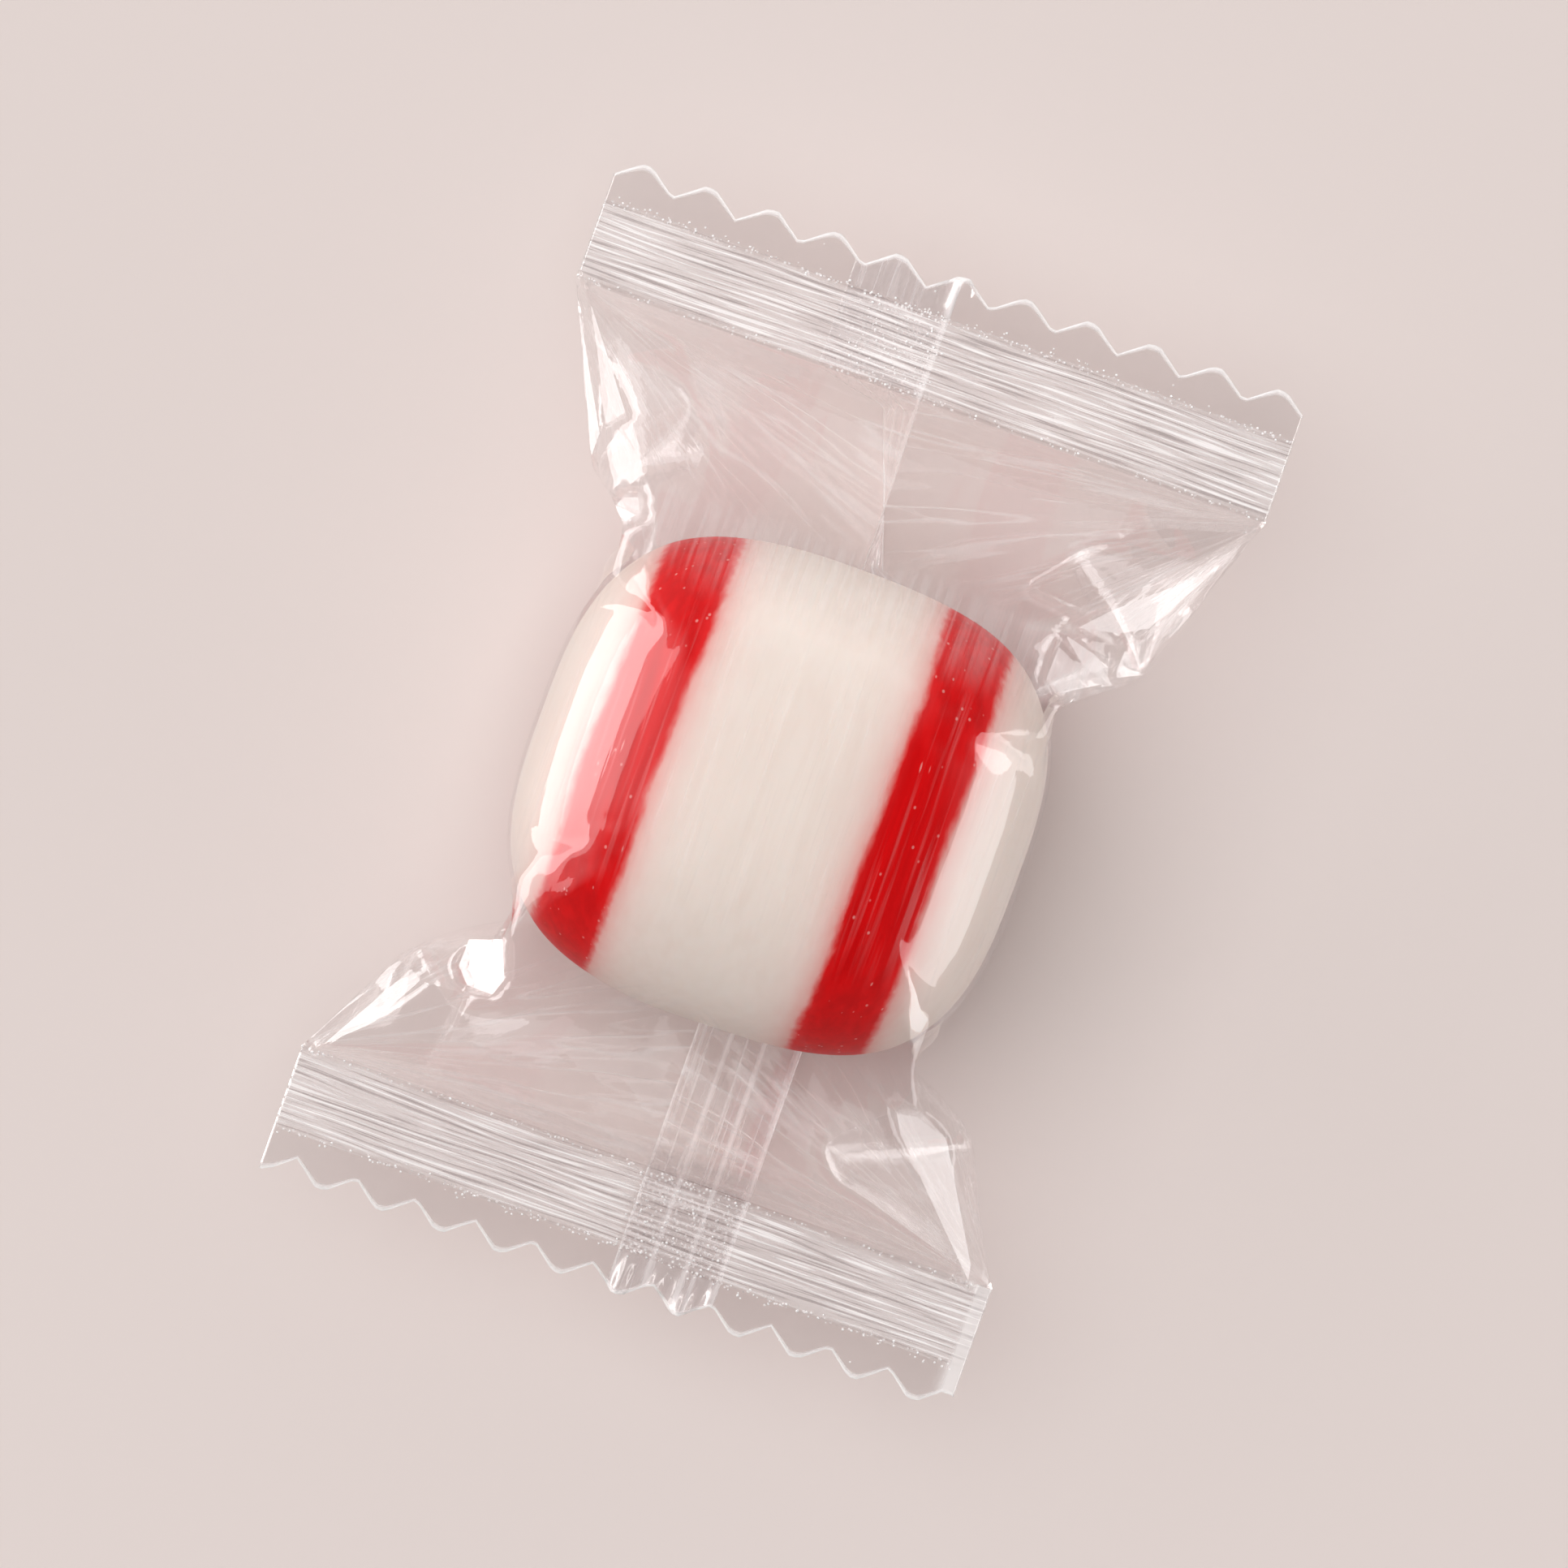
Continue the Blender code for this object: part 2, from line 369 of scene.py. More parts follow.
def first_tube():
    """A rough tube to start from: snug on the candy, and slack from there to its flat ends."""
    turn = np.linspace(0, 2 * math.pi, 20001)
    c, s = np.sin(turn), np.cos(turn)
    x = (candy_half[0] + film_gap) * np.sign(c) * np.abs(c) ** (2 / section_power)
    z = (candy_half[2] + film_gap) * np.sign(s) * np.abs(s) ** (2 / section_power)
    arc = np.concatenate([[0], np.cumsum(np.hypot(np.diff(x), np.diff(z)))])
    want = np.arange(coarse_columns) / coarse_columns * arc[-1]
    snug = np.stack([np.interp(want, arc, x), 0 * want, np.interp(want, arc, z) + candy_middle[2]], -1)
    bottom, top = sealed_rows(coarse_columns)
    tube = np.zeros((coarse_columns, coarse_rows, 3))
    for row, place in enumerate(np.linspace(-1, 1, coarse_rows)):
        end = 1 if place > 0 else -1
        along, reach = abs(place) * film_length / 2, abs(seal_inner[end] - candy_middle[1])
        share = np.clip((along - snug_length) / (film_length / 2 - snug_length), 0, 1)
        tube[:, row] = (1 - share) * snug + share * (top if end > 0 else bottom)
        from_middle = min(along, snug_length) + share * (reach - snug_length)
        tube[:, row, 1] = candy_middle[1] + end * from_middle
    tube += np.random.default_rng(4).normal(0, first_unevenness, tube.shape)
    tube[:, 0], tube[:, -1] = bottom, top
    return tube


def side_folds(columns, rows):
    """Where the tube's two edges run straight on from the seals' corners, creased by the jaws."""
    long = film_length / (rows - 1)
    for (side, end), (x, y) in fold_ends.items():
        corner = seal_point(side * flat_width / 2, 0.0, end)
        away = np.array([x * MM, y * MM, fold_z]) - corner
        reach = np.linalg.norm(away)
        steps = np.arange(1, int(reach / long) + 1)
        column = columns // 4 if side > 0 else columns * 3 // 4
        number = steps if end < 0 else rows - 1 - steps
        yield column, number, corner + away * (steps * long / reach)[:, None]


def pull(a, b, length, strength, push_only=False):
    """Moves pairs of points towards being this far apart, half each."""
    gap = b - a
    far = np.sqrt(np.einsum("...i,...i->...", gap, gap)) + 1e-12
    share = 0.5 * strength * (1 - length / far)
    if push_only:
        share = np.minimum(share, 0)
    gap *= share[..., None]
    a += gap
    b -= gap


def keep_off_candy(film, gap):
    """Pushes the film out of the candy, to a gap from its surface, and says which points touch it."""
    reach = candy_half + MM
    beside = np.abs(film - candy_middle) < reach
    near = beside[..., 0] & beside[..., 1]
    points = film[near]
    grow, slope = candy_size_at(points)
    steep = np.sqrt((slope * slope).sum(-1))
    short = np.clip(gap - (grow - 1) / steep, 0, None)
    film[near] = points + (short / steep)[:, None] * slope
    touching = np.zeros(film.shape[:2], bool)
    touching[near] = short > 0
    return touching


def outward(film):
    """The film's outward directions at its points, from their neighbours."""
    round_it = np.roll(film, -1, 0) - np.roll(film, 1, 0)
    along = np.zeros_like(film)
    along[:, 1:-1] = film[:, 2:] - film[:, :-2]
    across = np.cross(round_it, along)
    return across / (np.sqrt((across * across).sum(-1))[..., None] + 1e-12)


def relax(film, steps, bend, air):
    """Lets the film settle: it hardly stretches, bends with a little effort and can't pass the candy.

    air is how far each step blows the film outwards, in millimetres. Where the film touches the candy
    it hardly slides along it.
    """
    columns, rows, _ = film.shape
    wide, long = girth / columns, film_length / (rows - 1)
    slant = math.hypot(wide, long)
    held = film[:, 0].copy(), film[:, -1].copy()
    folds = list(side_folds(columns, rows))
    front = np.r_[columns * 3 // 4 + 1:columns, 0:columns // 4]
    back = np.r_[columns * 3 // 4 - 1:columns // 4:-1]
    before = film.copy()
    for _ in range(steps):
        drift = (film - before) * kept_speed
        before = film.copy()
        film += drift + outward(film) * (air * MM)
        pull(film[:, 0:rows - 1:2], film[:, 1:rows:2], long, 1.0)
        pull(film[:, 1:rows - 1:2], film[:, 2:rows:2], long, 1.0)
        even, odd = film[0::2], film[1::2]
        pull(even, odd, wide, 1.0)
        pull(even[:, :-1], odd[:, 1:], slant, skew_strength)
        pull(even[:, 1:], odd[:, :-1], slant, skew_strength)
        following = np.roll(even, -1, 0)
        pull(odd, following, wide, 1.0)
        pull(odd[:, :-1], following[:, 1:], slant, skew_strength)
        pull(odd[:, 1:], following[:, :-1], slant, skew_strength)
        film[0::2] = np.roll(following, 1, 0)
        for turn in (0, 2):
            turned = np.roll(film, -turn, 0).reshape(columns // 4, 4, rows, 3)
            pull(turned[:, 0:2], turned[:, 2:4], 2 * wide, bend, True)
            film[:] = np.roll(turned.reshape(columns, rows, 3), turn, 0)
        for start in range(4):
            a, b = film[:, start:rows - 2:4], film[:, start + 2:rows:4]
            pull(a[:, :b.shape[1]], b, 2 * long, bend, True)
        touching = keep_off_candy(film, film_gap)
        film[touching, 1] += grip * (before[touching, 1] - film[touching, 1])
        np.maximum(film[..., 2], film_floor, out=film[..., 2])
        overlap = np.clip(layer_gap - (film[front, :, 2] - film[back, :, 2]), 0, None) / 2
        film[front, :, 2] += overlap
        film[back, :, 2] -= overlap
        film[:, 0], film[:, -1] = held
        for column, number, points in folds:
            film[column, number] = points
    return film


def halved(film):
    """The same film with squares half the size."""
    columns, rows, _ = film.shape
    wide = np.zeros((2 * columns, rows, 3))
    wide[0::2], wide[1::2] = film, (film + np.roll(film, -1, 0)) / 2
    fine = np.zeros((2 * columns, 2 * rows - 1, 3))
    fine[:, 0::2], fine[:, 1::2] = wide, (wide[:, 1:] + wide[:, :-1]) / 2
    fine[:, 0], fine[:, -1] = sealed_rows(2 * columns)
    return fine


def clinging(film):
    """The film with its buckles smoothed down onto the candy where they are low, or over its sides."""
    grow, slope = candy_size_at(film)
    steep = np.sqrt((slope * slope).sum(-1))
    off = (grow - 1) / steep - film_gap
    share = 1 - np.clip((off - cling_near) / (cling_far - cling_near), 0, 1)
    away = np.abs((film - candy_middle) / candy_half)[..., :2] ** plan_power
    over = np.clip((cling_rim - away.sum(-1) ** (1 / plan_power)) / cling_fade, 0, 1)
    beside = np.clip((np.abs(film[..., 0]) - cling_from_middle) / cling_ramp, 0, 1)
    place = over * beside
    share = np.maximum(share, place * place * (3 - 2 * place))
    return film - (share * off / steep)[..., None] * slope


def settled_film():
    """The film round the candy between its seals, worked out coarsely and then twice finer."""
    film = first_tube()
    for stage, (steps, bend, air) in enumerate(relax_plan):
        if stage:
            film = halved(film)
        film = relax(film, steps, bend, air)
    film[..., 0] = np.clip(film[..., 0], -flat_width / 2, flat_width / 2)
    return clinging(film)


def end_film(tree, out, milky, tint, relief, least_mirror):
    """Ends a film's nodes: clear where it isn't milky, with sharp reflections that grow at a slant.

    least_mirror is the share of light that it mirrors where it is seen straight on.
    """
    bump = node(tree, "Bump", Strength=0.22, Distance=0.05 * MM, Height=relief)
    clear = node(tree, "BsdfTransparent", tint)
    white = node(tree, "BsdfDiffuse", "#fbf8f7", Roughness=0.0)
    body = node(tree, "MixShader", milky, clear, white)
    gloss = node(tree, "BsdfGlossy", "#ffffff", Roughness=0.05, Normal=bump)
    slant = node(tree, "LayerWeight", Blend=0.5, Normal=bump, output="Facing")
    slant = node(tree, "Math.POWER", slant, mirror_power)
    mirror = node(tree, "Math.MULTIPLY_ADD", slant, mirror_slant, least_mirror)
    both = node(tree, "MixShader", mirror, body, gloss)
    # Light on its way to the candy passes the film nearly whole.
    passed = node(tree, "BsdfTransparent", "#f3f1f1")
    shadow = node(tree, "LightPath", output="Is Shadow Ray")
    tree.links.new(node(tree, "MixShader", shadow, both, passed), out)


def clear_film(name, haze, streaked):
    """Clear glossy polypropylene film, with next to no colour of its own.

    The mesh's attribute "cut" says where it ends in a cut or a crease, painted milky white there as a
    highlight, "flat" where a facet has hardly any creases, and "shiny" how much it shines. haze is how
    milky it is all over, and streaked how white its lengthwise streaks are.
    """
    material, tree, out = new_material(name)
    place = node(tree, "TexCoord", output="Object")
    x, y, z = node(tree, "SeparateXYZ", place).node.outputs
    cut, flat, shiny = (node(tree, "Attribute", attribute_name=word, output="Fac")
                        for word in ("cut", "flat", "shiny"))
    # Fine creases fan out from each corner of the seals: noise round the corner, drawn out from it.
    aside = node(tree, "Math.SUBTRACT", flat_width / 2, node(tree, "Math.ABSOLUTE", x))
    below = node(tree, "Math.SUBTRACT", seal_inner[1], node(tree, "Math.ABSOLUTE", y))
    turn = node(tree, "Math.MULTIPLY", node(tree, "Math.ARCTAN2", below, aside), 9.0)
    reach = node(tree, "Math.MULTIPLY_ADD", below, below, node(tree, "Math.MULTIPLY", aside, aside))
    reach = node(tree, "Math.DIVIDE", node(tree, "Math.SQRT", reach), 14 * MM)
    which = node(tree, "Math.MULTIPLY_ADD", node(tree, "Math.SIGN", x), 7.3,
                 node(tree, "Math.DIVIDE", z, 5 * MM))
    which = node(tree, "Math.MULTIPLY_ADD", node(tree, "Math.SIGN", y), 3.1, which)
    fan = node(tree, "TexNoise", node(tree, "CombineXYZ", turn, which, reach), Scale=1.0, Detail=2.0,
               Roughness=0.6)
    line = node(tree, "Math.ABSOLUTE", node(tree, "Math.SUBTRACT", fan, 0.5))
    in_panel = node(tree, "Math.MULTIPLY",
                    node(tree, "MapRange.SMOOTHSTEP", below, 7.5 * MM, 4.0 * MM),
                    node(tree, "MapRange.SMOOTHSTEP", below, 0.0, 0.3 * MM))
    fanned = node(tree, "Math.MULTIPLY", node(tree, "MapRange.SMOOTHSTEP", line, 0.035, 0.0), in_panel)
    crease = stretched_noise(tree, place, (0.6, 6.0, 0.6), detail=2.0, roughness=0.55)
    fan = node(tree, "Math.MULTIPLY", fan, in_panel)
    relief = node(tree, "Math.MULTIPLY_ADD", fan, 2.2, crease)
    relief = node(tree, "Math.MULTIPLY_ADD", fanned, 0.3, relief)
    relief = node(tree, "Math.MULTIPLY", relief, node(tree, "Math.MULTIPLY_ADD", flat, -0.85, 1.0))
    # Where "cut" says, the film is painted milky white: a painted highlight on cut edges and creases.
    milky = node(tree, "Math.MAXIMUM", node(tree, "Math.MULTIPLY", cut, 0.75),
                 node(tree, "Math.MULTIPLY", fanned, 0.16))
    # It is a little milky in streaks over the candy's upper end: partly haze, partly a painted
    # reflection.
    fibres = stretched_noise(tree, place, (0.24, 9.0, 5.0), detail=2.0)
    upper_haze_and_reflection = node(tree, "Math.MULTIPLY",
                  node(tree, "MapRange.SMOOTHSTEP", y, 5.4 * MM, 7.4 * MM),
                  node(tree, "MapRange.SMOOTHSTEP", y, 10.2 * MM, 8.8 * MM))
    upper_haze_and_reflection = node(tree, "Math.MULTIPLY", upper_haze_and_reflection,
                  node(tree, "MapRange.SMOOTHSTEP", z, 7.0 * MM, 9.5 * MM))
    upper_haze_and_reflection = node(tree, "Math.MULTIPLY", upper_haze_and_reflection,
                  node(tree, "MapRange.SMOOTHSTEP", fibres, 0.35, 0.65, 0.03, 0.13))
    streak = node(tree, "MapRange.SMOOTHSTEP", fibres, 0.52, 0.74)
    streak = node(tree, "Math.MULTIPLY", streak, streaked)
    if not haze:
        # Film with no haze has its streaks only over the candy.
        streak = node(tree, "Math.MULTIPLY", streak,
                      node(tree, "MapRange.SMOOTHSTEP", below, 9.0 * MM, 13.0 * MM))
    milky = node(tree, "Math.MAXIMUM", milky, node(tree, "Math.MAXIMUM", upper_haze_and_reflection, streak))
    milky = node(tree, "Math.MINIMUM", node(tree, "Math.ADD", milky, haze), 1.0)
    least_mirror = node(tree, "Math.MULTIPLY_ADD", shiny, mirror_shiny, mirror_least)
    end_film(tree, out, milky, "#fdfcfc", relief, least_mirror)
    return material


def closed_mesh(rows, in_band, materials, **shares):
    """A smooth closed mesh through rows of points, each a ring round a flat tube from edge to edge.

    in_band says which rings the jaws pressed: the faces between them take the second material. The
    shares are named values, one per point, that the materials read.
    """
    rows = np.asarray(rows)
    count, round_it, _ = rows.shape
    number = np.arange(count * round_it).reshape(count, round_it)
    following = np.roll(number, -1, 1)
    faces = np.stack([number[:-1], following[:-1], following[1:], number[1:]], -1)
    faces = faces.reshape(-1, 4).tolist()
    for ring in (number[0].tolist(), number[-1].tolist()):
        for i in range(round_it // 2 - 1):
            faces.append([ring[i], ring[i + 1], ring[round_it - 2 - i], ring[round_it - 1 - i]])
    mesh = bpy.data.meshes.new("rings")
    mesh.from_pydata(rows.reshape(-1, 3).tolist(), [], faces)
    chosen = np.zeros(len(faces), dtype=np.int32)
    chosen[:(count - 1) * round_it] = np.repeat(in_band[:-1] & in_band[1:], round_it)
    mesh.polygons.foreach_set("material_index", chosen)
    built = bmesh.new()
    built.from_mesh(mesh)
    bmesh.ops.recalc_face_normals(built, faces=built.faces)
    built.to_mesh(mesh)
    built.free()
    mesh.shade_smooth()
    for material in materials:
        mesh.materials.append(material)
    for word, values in shares.items():
        layer = mesh.attributes.new(word, "FLOAT", "POINT")
        layer.data.foreach_set("value", np.asarray(values, dtype=np.float32).ravel())
    return mesh


film_grid = settled_film()
film_columns, film_rows, _ = film_grid.shape

# --------------------------------------------------------------------------------------
# End seals. Both layers of the tube pressed together by heated jaws with fine ridges,
# then cut with a zigzag knife a little outside the pressed band.
# --------------------------------------------------------------------------------------
ridge_pitch = 0.40 * MM
ridge_height = 0.022 * MM
rows_per_ridge = 6
edge_line = 0.10 * MM
margin_rows = 7
# The pitch of the painted highlight and shade lines in the pressed film. Real ones are finer than the
# render can draw.
line_pitch = 0.27 * MM
# For the upper and the lower seal: its zigzag's pitch and first tip, and where the fin crosses it.
teeth = {1: (2.67 * MM, 0.03 * MM), -1: (2.49 * MM, 0.50 * MM)}
fin_crossing = {1: (-3.6 * MM, 0.2 * MM), -1: (-0.3 * MM, 4.3 * MM)}
# The clear margin is crumpled where it was cut together with the fin, from here to here.
crumpled = {1: (-0.9 * MM, 0.9 * MM), -1: (-0.9 * MM, 4.7 * MM)}
crumple_height = 0.30 * MM
# The lower seal's right edge is folded over from here, and looks whiter by this much.
folded_from = 13.7 * MM
folded_white = 0.45


def pressed_film():
    """Two layers of film pressed together: milky, with fine painted highlight and shade lines on the
    ridges.

    Attributes of the mesh say where it differs: "pressed" fades it out towards the band's edges,
    "bubbly" is where air stayed between the layers, and "cut" is a crease painted milky as a highlight.
    """
    material, tree, out = new_material("pressed polypropylene film")
    place = node(tree, "TexCoord", output="Object")
    x, y, z = node(tree, "SeparateXYZ", place).node.outputs
    pressed, bubbly, cut = (node(tree, "Attribute", attribute_name=word, output="Fac")
                            for word in ("pressed", "bubbly", "cut"))
    waver = stretched_noise(tree, place, (9.0, 1.2, 9.0), detail=1.0)
    bowed = node(tree, "Math.MULTIPLY_ADD", waver, 0.45 * MM, y)
    on_ridge = node(tree, "CombineXYZ", x, bowed, z)
    ridges = node(tree, "Math.SINE", node(tree, "Math.MULTIPLY", bowed, 2 * math.pi / line_pitch))
    broken = stretched_noise(tree, on_ridge, (3.0, 0.12, 5.0), detail=1.0)
    fine = stretched_noise(tree, on_ridge, (3.5, 0.06, 8.0), detail=1.0)
    lines = node(tree, "Math.MULTIPLY_ADD", broken, 0.5, node(tree, "Math.MULTIPLY", fine, 0.5))
    lines = node(tree, "Math.MULTIPLY_ADD", ridges, 0.08, lines)
    # Painted highlights: whiter film along the ridges, where they would mirror the lights.
    painted_ridge_highlights = node(tree, "MapRange.SMOOTHSTEP", lines, 0.50, 0.68)
    painted_ridge_highlights = node(tree, "Math.MULTIPLY", painted_ridge_highlights, 0.42)
    # Painted shade: a darker see-through tint beside them, for the ridges' refraction and shadow.
    painted_ridge_shade = node(tree, "MapRange.SMOOTHSTEP", lines, 0.47, 0.32)
    painted_ridge_shade = node(tree, "Math.MULTIPLY", painted_ridge_shade, 0.52)
    dots = stretched_cells(tree, place, (0.20, 0.20, 0.20), 0.42, 0.75)
    dots = node(tree, "Math.MULTIPLY", node(tree, "Math.MULTIPLY", dots, bubbly), 0.6)
    milky = node(tree, "Math.MULTIPLY", pressed, node(tree, "Math.ADD", painted_ridge_highlights, 0.17))
    milky = node(tree, "Math.MAXIMUM", milky, dots)
    # Where "cut" says, the film is painted milky white: a painted highlight on cut edges and creases.
    milky = node(tree, "Math.MAXIMUM", milky, node(tree, "Math.MULTIPLY", cut, 0.75))
    painted_ridge_shade = node(tree, "Math.MULTIPLY", pressed, painted_ridge_shade)
    # The see-through tint is darker along the painted shade.
    tint = node(tree, "Mix.RGBA", painted_ridge_shade, "#fdfcfc", "#b5a9a7")
    end_film(tree, out, milky, tint, lines, mirror_least)
    return material


def tooth_line(x, end):
    """How far the zigzag edge stands out from its valleys at x, with rounded tips."""
    pitch, first_tip = teeth[end]
    steepness, tip = 1.12, 0.94
    away = np.abs((x - first_tip) / pitch - np.round((x - first_tip) / pitch)) * 2
    return tooth_depth * np.clip(steepness * (1 - away), 0, tip) / tip


def within(x, start, stop, soft):
    """1 between start and stop, falling to 0 over a soft distance inside them."""
    return np.clip((x - start) / soft, 0, 1) * np.clip((stop - x) / soft, 0, 1)


def crumple(x, out, end):
    """How far the clear margin is bent up or down where the fin seal was cut through with it."""
    rise = np.clip((out - seal_band) / seal_margin, 0, 1.6)
    folds = np.arcsin(np.sin(2 * math.pi * x / (1.25 * MM) + 0.9 * end)) / 1.57
    folds = folds + 0.5 * np.sin(2 * math.pi * x / (0.7 * MM) + 1.0 + 2 * out / MM)
    return crumple_height * within(x, *crumpled[end], 0.4 * MM) * rise * folds


def seal_rows(end, columns):
    """The film's rows from the seal's inner edge out to its cut edge, nearest the candy first.

    With each row come its shares of "pressed", "bubbly" and "cut".
    """
    x, side = round_the_tube(columns)
    # The column beside each edge lies close to it, so that the edge shows as a thin bright line.
    beside = np.abs(np.abs(x) - flat_width / 2 + girth / columns) < 0.01 * MM
    x = np.where(beside, np.sign(x) * (flat_width / 2 - edge_line), x)
    count = int(round(seal_band / ridge_pitch * rows_per_ridge))
    rows = []
    waver = np.random.default_rng(11 + end).uniform(0, 2 * math.pi, 4)
    over_fin = within(x, *fin_crossing[end], 0.3 * MM)
    folded_edge = folded_white * within(x, folded_from, flat_width, 0.1 * MM) * (end < 0)
    for i in range(1, count + 1):
        out = seal_band * i / count
        # The ridges waver a little along the seal, and are pressed unevenly deep.
        along = out + 0.05 * MM * np.sin(x / (6 * MM) + waver[0])
        along = along + 0.03 * MM * np.sin(x / (2.1 * MM) + waver[1])
        depth = 0.75 + 0.25 * np.sin(x / (3.3 * MM) + waver[2] + 5 * out / MM)
        fade = min(1.0, 3 * i / count, 3 * (count - i) / count)
        ridge = ridge_height * fade * depth * np.sin(2 * math.pi * along / ridge_pitch)
        points = seal_point(x, out, end)
        points[:, 2] += ridge + side * layer_gap / 2
        from_edge = min(out, seal_band - out)
        bubbly = np.clip(max(0.0, 1 - from_edge / (0.35 * MM)) + 0.5 * over_fin, 0, 1)
        pressed = np.full(columns, min(1.0, 8 * i / count, 8 * (count + 0.5 - i) / count))
        # The jaws press the lower seal less where the fin crosses it.
        pressed = pressed * (1 - 0.6 * over_fin * (end < 0))
        rows.append((points, pressed, bubbly, folded_edge))
    for i in range(1, margin_rows + 1):
        share = i / margin_rows
        out = seal_band + share * (seal_margin + tooth_line(x, end))
        points = seal_point(x, out, end)
        points[:, 2] += side * layer_gap / 2 + crumple(x, out, end)
        # The last row is the cut edge, which the materials paint milky white as a highlight.
        cut = np.full(columns, 1.0 if i == margin_rows else 0.0)
        rows.append((points, 0 * x, np.full(columns, 0.10 / i), np.maximum(cut, folded_edge)))
    return rows


# Flat facets that the jaws' pull creases into the film's front: the turn and the rise in degrees
# of what it mirrors to a viewer overhead, how much it shines, and its outline in millimetres.
facets = (
    # Upper right: dull slopes, a knot of small facets, and a long silvery one from the seal's corner.
    (-70, 52, 0.0, ((13.9, 15.4), (9.1, 10.4), (6.9, 10.6), (9.8, 14.2))),
    (10, -20, 0.3, ((14.3, 15.1), (12.15, 10.8), (12.0, 9.2), (13.0, 11.9))),
    (-15, -30, 0.0, ((14.25, 15.2), (11.45, 10.45), (12.0, 10.8))),
    (30, 14, 0.3, ((10.85, 8.3), (10.9, 9.6), (11.1, 9.9), (11.9, 8.8))),
    (10, 16, 0.3, ((8.35, 8.9), (10.5, 7.9), (9.0, 7.0), (8.3, 7.4))),
    (-60, -10, 0.0, ((8.5, 9.4), (9.7, 9.55), (10.4, 9.35), (10.2, 8.95))),
    (-22, 13, 0.9, ((8.4, 9.2), (9.7, 8.9), (10.8, 8.0), (9.4, 8.4))),
    (-16, 13, 1.0, ((14.25, 15.45), (9.9, 10.8), (8.5, 9.6), (10.4, 10.0), (11.5, 10.6))),
    # Upper left: a narrow facet, then a bright leaf.
    (-158, 13, 0.0, ((-14.0, 15.9), (-11.4, 11.0), (-10.8, 11.7))),
    (158, 13, 0.0, ((-10.8, 10.9), (-10.95, 10.3), (-10.5, 9.6), (-9.6, 9.05), (-9.25, 9.6),
                    (-10.2, 10.6))),
    (175, 8, 0.0, ((-13.9, 14.9), (-12.8, 12.2), (-11.5, 9.3), (-11.5, 10.6))),
    (165, 14, 0.0, ((-10.1, 7.8), (-9.7, 8.5), (-9.2, 8.7), (-8.9, 8.1), (-9.3, 7.7))),
    # Lower left: a narrow grey facet, a dull slope, a white facet, and a bright one near the candy.
    (-170, -8, 0.0, ((-13.9, -15.9), (-12.1, -11.6), (-11.5, -11.7))),
    (-110, 50, 0.0, ((-13.5, -15.8), (-10.9, -12.1), (-9.3, -12.0), (-9.6, -15.2))),
    (158, 13, 0.0, ((-13.7, -15.8), (-11.4, -11.8), (-10.9, -12.1), (-12.2, -14.4))),
    (-172, 12, 1.0, ((-9.6, -9.9), (-8.35, -9.45), (-7.75, -10.9), (-8.0, -11.6), (-9.1, -11.6),
                     (-9.65, -11.0))),
    # Lower right: a wide silvery facet.
    (22, 13, 0.6, ((13.4, -16.0), (8.9, -11.4), (8.5, -10.7), (9.7, -10.5), (10.7, -11.0),
                   (13.3, -15.4))),
)
facet_edge = 0.5 * MM
merge_distance = 0.004 * MM
on_facet = 0.01 * MM


def creased(mesh):
    """Cuts the flat facets into the film's front, with sharp edges and a short slope round each."""
    built = bmesh.new()
    built.from_mesh(mesh)
    front = built.verts.layers.float["front"]
    flat, shiny = (built.verts.layers.float.new(word) for word in ("flat", "shiny"))
    for turn, rise, shine, outline in facets:
        corners = np.array(outline) * MM
        edges = np.roll(corners, -1, 0) - corners
        if (corners[:, 0] * edges[:, 1] - corners[:, 1] * edges[:, 0]).sum() > 0:
            corners = corners[::-1]
            edges = np.roll(corners, -1, 0) - corners
        left = np.stack([-edges[:, 1], edges[:, 0]], -1) / np.linalg.norm(edges, axis=1)[:, None]
        least, most = corners.min(0), corners.max(0)
        least, most = least - facet_edge, most + facet_edge
        near = [face for face in built.faces
                if all(vert[front] > 0.5 for vert in face.verts)
                and all(least[k] < face.verts[0].co[k] < most[k] for k in (0, 1))]
        for corner, away in zip(corners, left):
            parts = near + list(dict.fromkeys(p for face in near for p in (*face.edges, *face.verts)))
            cut = bmesh.ops.bisect_plane(built, geom=parts, plane_co=(*corner, 0),
                                         plane_no=(*away, 0), dist=merge_distance)
            near = [part for part in cut["geom"] if isinstance(part, bmesh.types.BMFace)]
        verts = list(dict.fromkeys(vert for face in near for vert in face.verts))
        points = np.array([vert.co for vert in verts])
        out = ((points[:, None, :2] - corners) * left).sum(-1).max(1)
        # The facet leans towards what it mirrors, by half that one's angle from overhead.
        fall = math.tan(math.radians((90 - rise) / 2))
        towards_x, towards_y = math.cos(math.radians(turn)), math.sin(math.radians(turn))
        across = fall * (points[:, 0] * towards_x + points[:, 1] * towards_y)
        level = (points[:, 2] + across)[out < on_facet].mean()
        share = np.clip(1 - out / facet_edge, 0, 1) ** 2
        points[:, 2] += share * (level - across - points[:, 2])
        on_outline = {}
        for vert, point, distance in zip(verts, points, out):
            vert.co = point
            if distance < on_facet:
                vert[flat], vert[shiny] = 1.0, shine
            on_outline[vert] = abs(distance) < on_facet
        for edge in {edge for face in near for edge in face.edges}:
            if on_outline[edge.verts[0]] and on_outline[edge.verts[1]]:
                edge.smooth = False
    built.to_mesh(mesh)
    built.free()


nothing = np.zeros(film_columns)
tube_rows = [(film_grid[:, j], nothing, nothing, nothing) for j in range(film_rows)]
seal_parts = {end: seal_rows(end, film_columns) for end in (-1, 1)}
film_parts = seal_parts[-1][::-1] + tube_rows + seal_parts[1]
seal_count = len(seal_parts[1])
